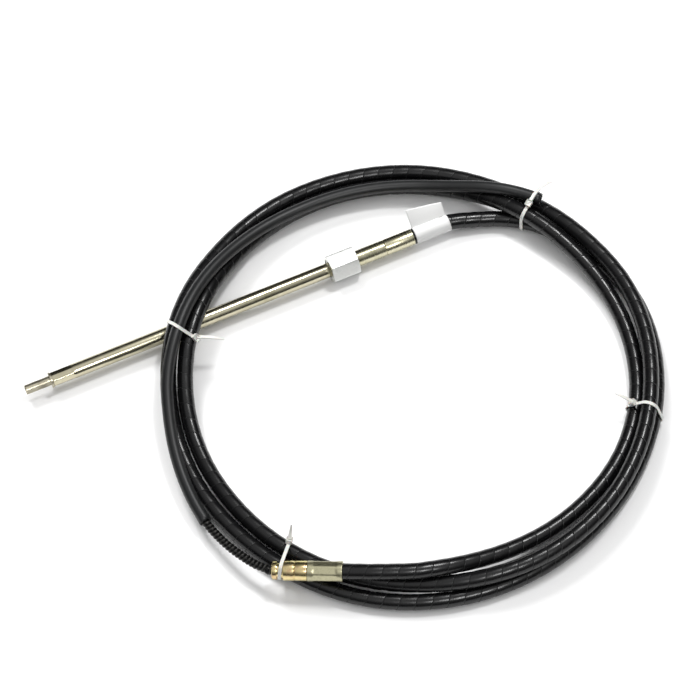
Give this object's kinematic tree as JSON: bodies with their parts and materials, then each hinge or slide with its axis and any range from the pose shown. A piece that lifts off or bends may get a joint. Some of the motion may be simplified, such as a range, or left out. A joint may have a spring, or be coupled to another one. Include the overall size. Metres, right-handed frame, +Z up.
{
  "type": "boat steering cable",
  "caption": "Coiled and tied ribbed boat steering cable with a sliding steel ram and hexagon coupling nut at one end, and a bare core running into a plastic tube at the other.",
  "frame": {"origin": "middle of the whole part's box, on the floor that the coil lies on", "axes": "+X across the coil, away from the ram's end fitting; +Y across the coil towards the coupling nut's side; +Z up from the floor"},
  "size_m": [0.6727, 0.5258, 0.0536],
  "materials": {
    "conduit_plastic": "extruded black polyethylene jacket, satin gloss, with the wrap's grooves",
    "tube_plastic": "extruded black plastic tube, satin",
    "core_steel": "greased dark steel winding",
    "ram_steel": "polished stainless tube",
    "fitting_steel": "turned, plated with a faint yellow cast",
    "nut_steel": "milled hexagon, plated, satin",
    "yellow_zinc": "turned steel, yellow chromated zinc",
    "crimp_steel": "crimped steel sleeve, plated, dull",
    "label_film": "white film label, satin, bare",
    "tie_nylon": "moulded natural nylon"
  },
  "bodies": {
    "coil": {"conduit": "conduit_plastic", "spent_tube": "tube_plastic", "helical_core": "core_steel", "output_ferrule": "fitting_steel", "support_tube": "ram_steel", "helm_crimp_sleeve": "crimp_steel", "helm_fitting": "yellow_zinc", "label": "label_film", "tie_top": "tie_nylon", "tie_right": "tie_nylon", "tie_left": "tie_nylon", "tie_bottom": "tie_nylon"},
    "nut": {"coupling_nut": "nut_steel"},
    "ram": {"ram_tube": "ram_steel", "ram_end": "fitting_steel"}
  },
  "joints": [
    {"name": "nut_turn", "type": "hinge", "parent": "coil", "child": "nut", "pos_m": [-0.00215, 0.13548, 0.01437], "axis": [0.9092, 0.4163, 0], "continuous": true},
    {"name": "ram_slide", "type": "slide", "parent": "coil", "child": "ram", "axis": [-0.9092, -0.4163, 0], "range_m": [0, 0.229]}
  ]
}
